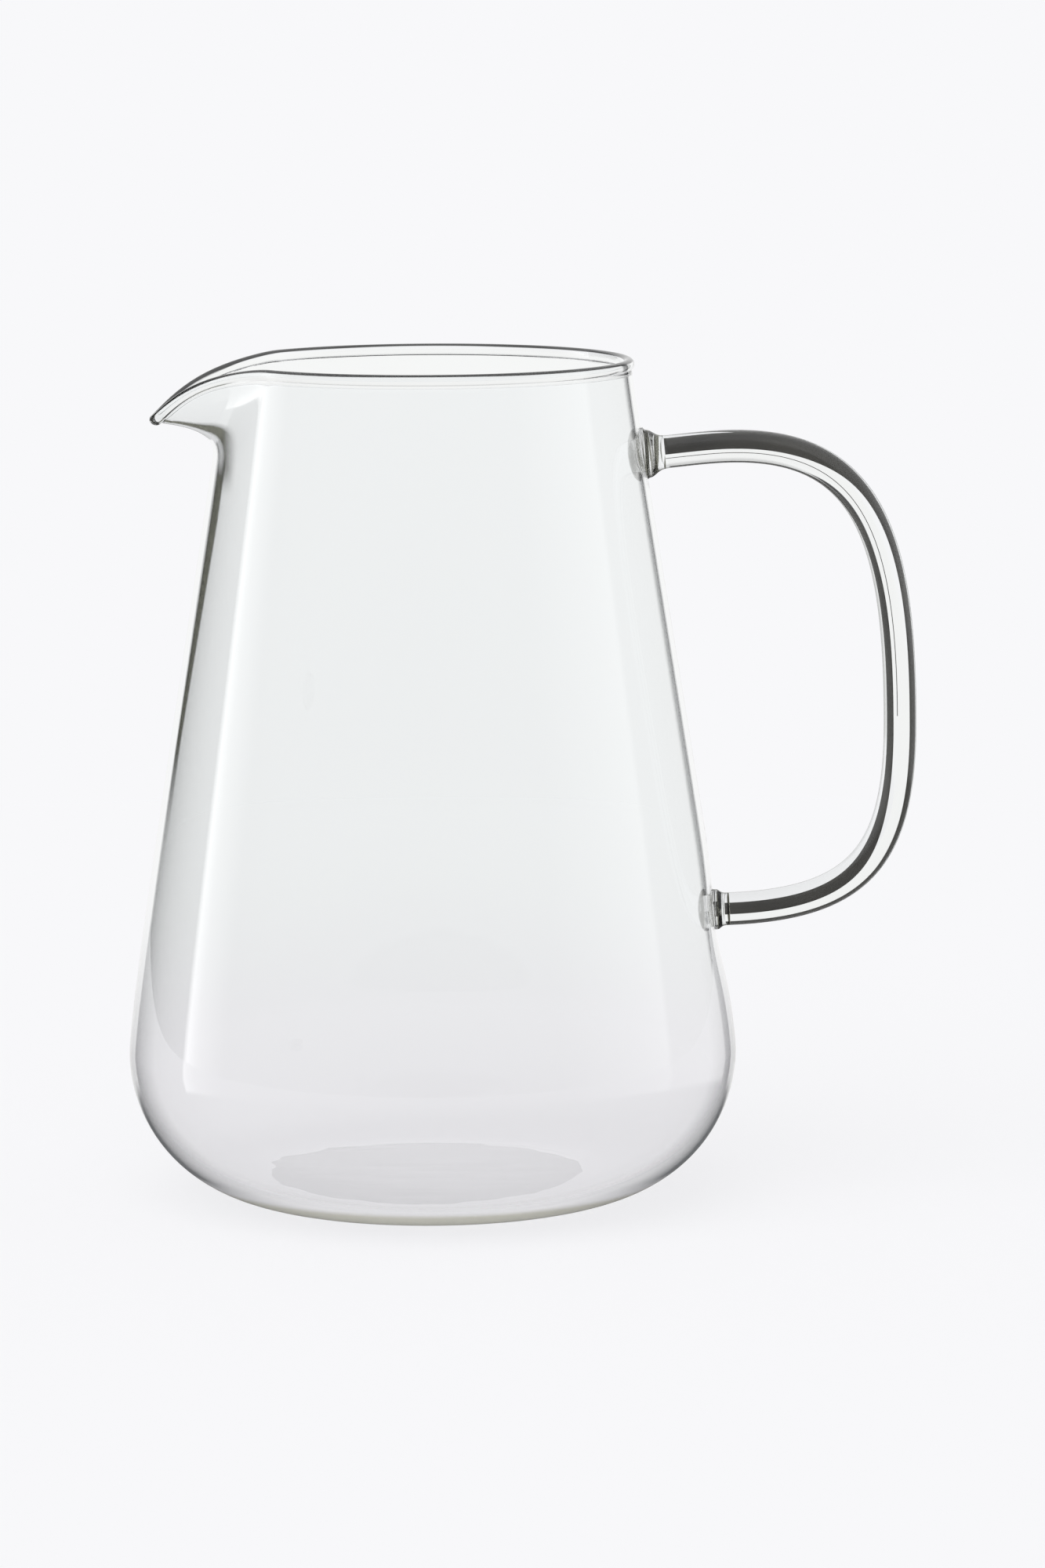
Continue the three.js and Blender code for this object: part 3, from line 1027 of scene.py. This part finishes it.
def make_world(scene, stage):
    """A studio that is only light: the camera sees the backdrop, the glass sees bright and dark bands."""
    world = bpy.data.worlds.new("studio")
    scene.world = world
    world.use_nodes = True
    tree = world.node_tree
    pale = toned(stage.backdrop, 1)
    axes = parts(tree, (-1200, 0), node(tree, "ShaderNodeTexCoord", (-1400, 0)).outputs["Generated"])
    azimuth = worked_out(tree, (-1000, 150), "ARCTAN2", axes["X"], axes["Y"])
    around = rising(tree, (-800, 150), azimuth, -math.pi, math.pi)
    height = worked_out(tree, (-1000, -150), "ARCSINE", axes["Z"])
    above = rising(tree, (-800, -150), height, -math.pi / 2, math.pi / 2)
    path = node(tree, "ShaderNodeLightPath", (-800, -450)).outputs
    mirror = worked_out(tree, (-600, -450), "SUBTRACT", path["Is Glossy Ray"], path["Is Transmission Ray"])
    mirror.node.use_clamp = True
    ring = ramp(tree, (-600, 300), around, ROUND_LIGHT, ROUND)
    ceiling = ramp(tree, (-600, 50), above, CEILING_EDGE, UPRIGHT)
    room = mixed(tree, (-300, 200), ceiling, ring, grey(CEILING_LIGHT))
    gloss = ramp(tree, (-600, 550), around, MIRROR_FLOOR, ROUND)
    ground = mixed(tree, (-300, 450), mirror, pale, gloss)
    low = ramp(tree, (-600, -200), above, LOW_EDGE, UPRIGHT)
    deep = ramp(tree, (-600, -700), above, MIRROR_EDGE, UPRIGHT)
    edge = mixed(tree, (-300, -150), mirror, low, deep)
    studio = mixed(tree, (-100, 200), edge, ground, room)
    mirrors = worked_out(tree, (-400, -450), "MULTIPLY", path["Glossy Depth"], STUDIO_MIRROR)
    depth = worked_out(tree, (-200, -450), "MAXIMUM", path["Transmission Depth"], mirrors)
    beyond = worked_out(tree, (0, -450), "GREATER_THAN", depth, STUDIO_DEPTH)
    fading = ramp(tree, (-300, -700), above, BEHIND_FADE, UPRIGHT)
    behind = mixed(tree, (0, -650), 1.0, pale, fading, "MULTIPLY")
    seen = mixed(tree, (200, 100), beyond, studio, behind)
    seen = mixed(tree, (400, 100), path["Is Camera Ray"], seen, pale)
    seen = mixed(tree, (600, 100), path["Is Diffuse Ray"], seen, grey(FILL_LIGHT))
    tree.links.new(seen, tree.nodes["Background"].inputs["Color"])
    tree.nodes["Background"].location = (800, 100)
    tree.nodes["World Output"].location = (1000, 100)


SUN_SLOPE = math.radians(35)
SUN_TURN = math.radians(-30)
SUN_WIDTH = math.radians(60)


def make_sun(scene):
    """A soft light from above that gives the carafe its faint shadow."""
    data = bpy.data.lights.new("sun", "SUN")
    data.energy = (1 - FILL_LIGHT) * math.pi / math.cos(SUN_SLOPE)
    data.angle = SUN_WIDTH
    sun = bpy.data.objects.new("sun", data)
    scene.collection.objects.link(sun)
    sun.rotation_euler = (SUN_SLOPE, 0, SUN_TURN)
    sun.visible_glossy = False
    sun.visible_transmission = False


# Each row of dark cards: its place along Y, how far out it begins on the upper half of the rod, and the
# corners that close its inner card. The row before the handle begins further out, so that the mouth doesn't
# show it.
FLAG_ROWS = (
    (0.027, 0.0485, ((0.066, 0.133), (0.0485, 0.133))),
    (-0.027, 0.08, ((0.066, 0.133),)),
)
# How far out the cards end on the lower half of the rod
FLAG_END = 0.057
# Offsets of the cards from the rod's line, where it runs level and where it runs upright
INNER_FLAG = ((0.0, -0.009), (-0.0125, -0.009))
UNDER_FLAG = ((-0.001, 0.008), (0.0105, 0.023))
OVER_FLAG = ((0.026, 0.008), (0.070, 0.023))
HAIR_FLAG = ((0.0035, 0.0036), (0.0042, 0.0043))
# A card is clear past so many surfaces of glass, where a mirror counts as several, and seen edge on
FLAG_DEPTH = 2.5
FLAG_MIRROR = 8.0
FLAG_EDGE_ON = 0.92
# The cards' two tones, and how fine the clouds are in which they change
FLAG_TONES = (grey(0.006), (0.05, 0.047, 0.04, 1))
FLAG_CLOUDS = 60


def directions(line):
    """The way a line runs at each of its points."""
    along = np.gradient(line, axis=0)
    return along / np.linalg.norm(along, axis=1)[:, None]


def beside_rod(line, offsets):
    """A line on the rod's outer side, whose distance depends on how upright the rod runs."""
    along = directions(line)
    level, upright = offsets
    distance = level + (upright - level) * np.abs(along[:, 1]) ** 3
    return line + np.column_stack([-along[:, 1], along[:, 0]]) * distance[:, None]


def flag_outlines(line, first, corners):
    """Outlines of the cards beside the rod's line, from a first distance out along its upper half."""
    outermost = int(np.argmax(line[:, 0]))
    start = int(np.argmax(line[:, 0] > first))
    end = len(line) - int(np.argmax(line[::-1, 0] > FLAG_END))
    upper, lower = line[start : outermost + 2], line[outermost:end]
    inner = [*beside_rod(line[start:outermost], INNER_FLAG[0]), *beside_rod(lower, INNER_FLAG[1])]
    outlines = [[*inner, *corners]]
    for part, (near, far) in ((lower, UNDER_FLAG), (upper, OVER_FLAG), (upper, HAIR_FLAG)):
        outlines.append([*beside_rod(part, near), *beside_rod(part, far)[::-1]])
    return outlines


def flag_material():
    """Dark to rays that met few surfaces of glass and no mirror, clear to others and seen edge on."""
    material, tree, output = bare_material("rod flag")
    path = node(tree, "ShaderNodeLightPath", (-200, 200)).outputs
    mirrors, surfaces = path["Glossy Depth"], path["Transmission Depth"]
    depth = worked_out(tree, (0, 200), "MULTIPLY_ADD", mirrors, FLAG_MIRROR, surfaces)
    beyond = worked_out(tree, (200, 200), "GREATER_THAN", depth, FLAG_DEPTH)
    edge_on = worked_out(tree, (200, 400), "GREATER_THAN", facing(tree, (0, 400)), FLAG_EDGE_ON)
    unseen = worked_out(tree, (400, 300), "MAXIMUM", beyond, edge_on)
    clouds = noise(tree, (-200, -200), object_place(tree, (-400, -200)), FLAG_CLOUDS)
    dark = node(tree, "ShaderNodeEmission", (200, 0))
    tree.links.new(mixed(tree, (0, -200), clouds, *FLAG_TONES), dark.inputs["Color"])
    clear = node(tree, "ShaderNodeBsdfTransparent", (200, -150))
    mix = node(tree, "ShaderNodeMixShader", (400, 0))
    fill(tree, mix.inputs, (unseen, dark.outputs[0], clear.outputs[0]))
    tree.links.new(mix.outputs[0], output.inputs["Surface"])
    return material


def make_flags(vessel, handle):
    """Dark cards behind and before the handle, which only its glass shows."""
    material = flag_material()
    for y, first, corners in FLAG_ROWS:
        for outline in flag_outlines(rod_line(vessel, handle)[0], first, corners):
            card = flat_card("flag", [Vector((x, y, z)) for x, z in outline])
            card.data.materials.append(material)
            for rays in ("camera", "diffuse", "glossy", "shadow", "volume_scatter"):
                setattr(card, f"visible_{rays}", False)


# Operators


class CARAFE_OT_stage(bpy.types.Operator):
    """Set up the camera, the floor, the lights and the dark cards"""

    bl_idname = "carafe.stage"
    bl_label = "Studio"

    def execute(self, context):
        scene = context.scene
        scene.view_settings.view_transform = "Standard"
        for kind in ("max_bounces", "glossy_bounces", "transmission_bounces"):
            setattr(scene.cycles, kind, LIGHT_BOUNCES)
        make_camera(scene)
        make_floor(scene.carafe_stage)
        make_world(scene, scene.carafe_stage)
        make_sun(scene)
        make_flags(scene.carafe_vessel, scene.carafe_handle)
        return {"FINISHED"}


class CARAFE_OT_vessel(bpy.types.Operator):
    """Blow the vessel and pull its spout"""

    bl_idname = "carafe.vessel"
    bl_label = "Vessel"

    def execute(self, context):
        vessel, look = context.scene.carafe_vessel, context.scene.carafe_glass
        piece = spun("blown_vessel", vessel_outline(vessel))
        mark_bead(piece, vessel)
        set_points(piece, pull_spout, vessel)
        set_points(piece, draw_in_wall, vessel)
        piece.data.materials.append(vessel_glass(look, vessel))
        return {"FINISHED"}


class CARAFE_OT_handle(bpy.types.Operator):
    """Bend the rod, with its ends melted wide"""

    bl_idname = "carafe.handle"
    bl_label = "Handle"

    def execute(self, context):
        scene = context.scene
        vessel, handle, look = scene.carafe_vessel, scene.carafe_handle, scene.carafe_glass
        piece = swept("bent_rod", *rod_line(vessel, handle))
        for material in (rod_glass(look), melted_glass(look), bpy.data.materials["blown_glass"]):
            piece.data.materials.append(material)
        for end, reach in zip(rod_ends(vessel, handle), (handle.upper_weld, handle.lower_weld)):
            self.melt(piece, vessel, handle, end, reach)
        return {"FINISHED"}

    def melt(self, piece, vessel, handle, end, reach):
        """Gives one end of the rod the glass of a weld, and inside the wall the glass of the vessel."""
        melted, blown = 1, 2
        x, z, slope = end
        for face in piece.data.polygons:
            rise = face.center.z - z
            along = (face.center.x - x + slope * rise) / (1 + slope**2)
            if abs(rise) < WELD_REACH * handle.rod_radius and along < reach:
                middle = outer_radius(vessel, face.center.z) - vessel.wall / 2
                face.material_index = melted if math.hypot(*face.center.xy) > middle else blown


class CARAFE_OT_welds(bpy.types.Operator):
    """Fuse the rod to the vessel, and part the glass again into its pieces"""

    bl_idname = "carafe.welds"
    bl_label = "Welds"

    def execute(self, context):
        scene = context.scene
        body = bpy.data.objects["blown_vessel"]
        rod = bpy.data.objects["bent_rod"]
        select_only(body)
        fuse = body.modifiers.new("fuse", "BOOLEAN")
        fuse.operation = "UNION"
        fuse.solver = "EXACT"
        fuse.material_mode = "TRANSFER"
        fuse.object = rod
        bpy.ops.object.modifier_apply(modifier=fuse.name)
        bpy.data.objects.remove(rod)
        bpy.ops.object.mode_set(mode="EDIT")
        bpy.ops.mesh.select_all(action="SELECT")
        bpy.ops.mesh.separate(type="MATERIAL")
        bpy.ops.object.mode_set(mode="OBJECT")
        pieces = self.parted(context)
        mark_buttons(pieces[0], scene.carafe_vessel, scene.carafe_handle)
        seam = fused_joint("seam", (1, 1, 1))
        contact = fused_joint("contact", scene.carafe_glass.joint_tint)
        for piece in pieces:
            close_seats(piece, seam, contact)
            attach(piece, "root")
        return {"FINISHED"}

    def parted(self, context):
        """The pieces, the vessel first, told apart by their glass and, for the welds, by their height."""
        glass = {}
        for piece in context.selected_objects:
            material = piece.data.materials[piece.data.polygons[0].material_index]
            glass[material.name] = piece
        select_only(glass["melted_glass"])
        bpy.ops.mesh.separate(type="LOOSE")
        lower, upper = sorted(context.selected_objects, key=lambda o: o.data.vertices[0].co.z)
        made = (
            (glass["blown_glass"], "blown_vessel", "vessel", "vessel_glass"),
            (glass["drawn_glass"], "bent_rod", "handle", "rod_glass"),
            (upper, "upper_gather", "upper_weld", "weld_glass"),
            (lower, "lower_gather", "lower_weld", "weld_glass"),
        )
        # All take a passing name first, because a name that another piece still has can't be given
        for row in made:
            row[0].name = "parted"
        for piece, name, cad_node, slot in made:
            piece.name = name
            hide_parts(cad_node)
        return [row[0] for row in made]


class CARAFE_PT_panel(bpy.types.Panel):
    """The carafe's pieces, in the order they are made"""

    bl_label = "Carafe"
    bl_idname = "CARAFE_PT_panel"
    bl_space_type = "VIEW_3D"
    bl_region_type = "UI"
    bl_category = "Carafe"

    def draw(self, context):
        for step in STEPS:
            self.layout.operator(step.bl_idname)
        for name in GROUPS:
            group = getattr(context.scene, name)
            box = self.layout.box()
            for key in group.bl_rna.properties.keys():
                if key not in ("rna_type", "name"):
                    box.prop(group, key)


GROUPS = {
    "carafe_vessel": VesselSizes,
    "carafe_handle": HandleSizes,
    "carafe_glass": GlassLook,
    "carafe_stage": StageLook,
}
STEPS = (CARAFE_OT_stage, CARAFE_OT_vessel, CARAFE_OT_handle, CARAFE_OT_welds)


def register():
    for group in GROUPS.values():
        bpy.utils.register_class(group)
    for step in (*STEPS, CARAFE_PT_panel):
        bpy.utils.register_class(step)
    for name, group in GROUPS.items():
        setattr(bpy.types.Scene, name, bpy.props.PointerProperty(type=group))


def unregister():
    for name in GROUPS:
        delattr(bpy.types.Scene, name)
    for step in (CARAFE_PT_panel, *reversed(STEPS), *reversed(GROUPS.values())):
        bpy.utils.unregister_class(step)


def main():
    register()
    bpy.ops.carafe.stage()
    bpy.ops.carafe.vessel()
    bpy.ops.carafe.handle()
    bpy.ops.carafe.welds()


if __name__ == "__main__":
    main()
